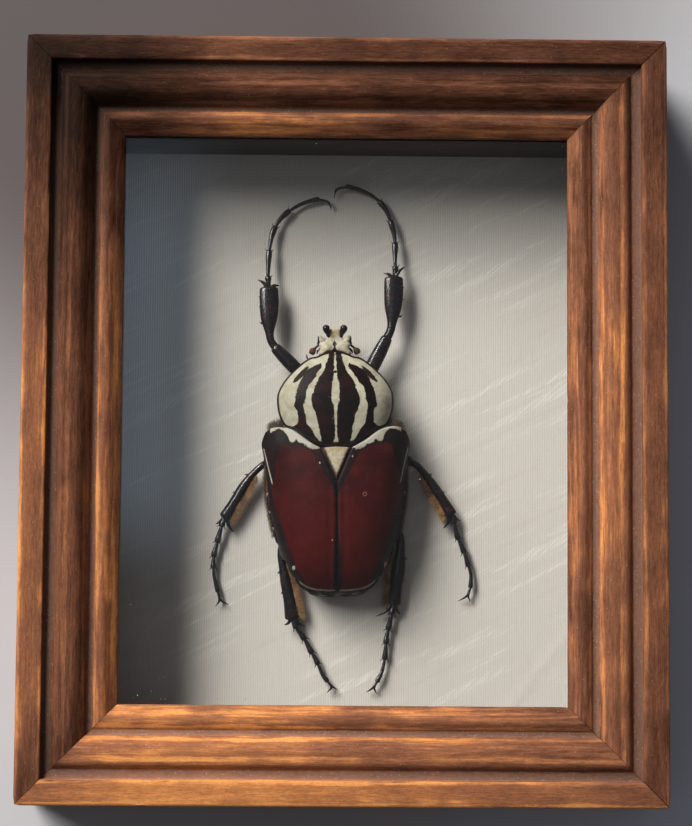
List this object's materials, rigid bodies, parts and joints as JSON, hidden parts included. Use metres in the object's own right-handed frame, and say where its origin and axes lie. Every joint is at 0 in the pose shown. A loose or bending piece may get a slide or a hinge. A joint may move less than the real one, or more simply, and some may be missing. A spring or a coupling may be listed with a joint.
{
  "type": "framed goliath beetle specimen",
  "caption": "Large horned beetle specimen with spread legs, fixed on ribbed cloth behind glass in a deep moulded wooden shadow-box frame.",
  "frame": {"origin": "middle of the frame's back, in the plane of the back edges of its rails, with the frame lying on its back", "axes": "+X to the right across the frame, +Y to the frame's top and the beetle's head, +Z out through the glass"},
  "size_m": [0.2, 0.2386, 0.046],
  "materials": {
    "stained_pine": "stained and waxed softwood with long straight grain",
    "dark_pine": "dark stained wood, matt",
    "glass": "clear flat window glass, lightly dusty",
    "ribbed_cloth": "pale ribbed moire cloth with a soft lustre",
    "board": "plain grey-buff board",
    "hardboard": "pressed fibreboard, matt brown",
    "steel": "thin plated steel",
    "cream_chitin": "cream cuticle with black bands, satin",
    "maroon_chitin": "velvety dark maroon cuticle with black and cream edges",
    "black_chitin": "glossy black cuticle",
    "brown_chitin": "red-brown cuticle with short tawny hair",
    "tawny_hair": "dense tawny hair"
  },
  "bodies": {
    "root": {"rail_top": "stained_pine", "rail_bottom": "stained_pine", "rail_left": "stained_pine", "rail_right": "stained_pine", "framing_point_top_1": "steel", "framing_point_top_2": "steel", "framing_point_bottom_1": "steel", "framing_point_bottom_2": "steel", "framing_point_left_1": "steel", "framing_point_left_2": "steel", "framing_point_right_1": "steel", "framing_point_right_2": "steel", "back_panel": "hardboard", "mount_board": "board", "lining_fabric": "ribbed_cloth", "glass_pane": "glass", "spacer_top": "dark_pine", "spacer_bottom": "dark_pine", "spacer_left": "dark_pine", "spacer_right": "dark_pine", "sawtooth_hanger": "steel", "pronotum": "cream_chitin", "elytron_left": "maroon_chitin", "elytron_right": "maroon_chitin", "scutellum": "cream_chitin", "thorax": "brown_chitin", "abdomen": "black_chitin", "head": "cream_chitin", "antenna_left": "brown_chitin", "antenna_right": "brown_chitin", "fore_left_femur": "black_chitin", "fore_left_tibia": "black_chitin", "fore_left_tarsus": "black_chitin", "fore_right_femur": "black_chitin", "fore_right_tibia": "black_chitin", "fore_right_tarsus": "black_chitin", "mid_left_femur": "black_chitin", "mid_left_tibia": "black_chitin", "mid_left_tarsus": "black_chitin", "mid_right_femur": "black_chitin", "mid_right_tibia": "black_chitin", "mid_right_tarsus": "black_chitin", "hind_left_femur": "black_chitin", "hind_left_tibia": "black_chitin", "hind_left_tarsus": "black_chitin", "hind_right_femur": "black_chitin", "hind_right_tibia": "black_chitin", "hind_right_tarsus": "black_chitin", "mid_left_hair_fringe": "tawny_hair", "mid_right_hair_fringe": "tawny_hair", "hind_left_hair_fringe": "tawny_hair", "hind_right_hair_fringe": "tawny_hair"}
  },
  "joints": []
}
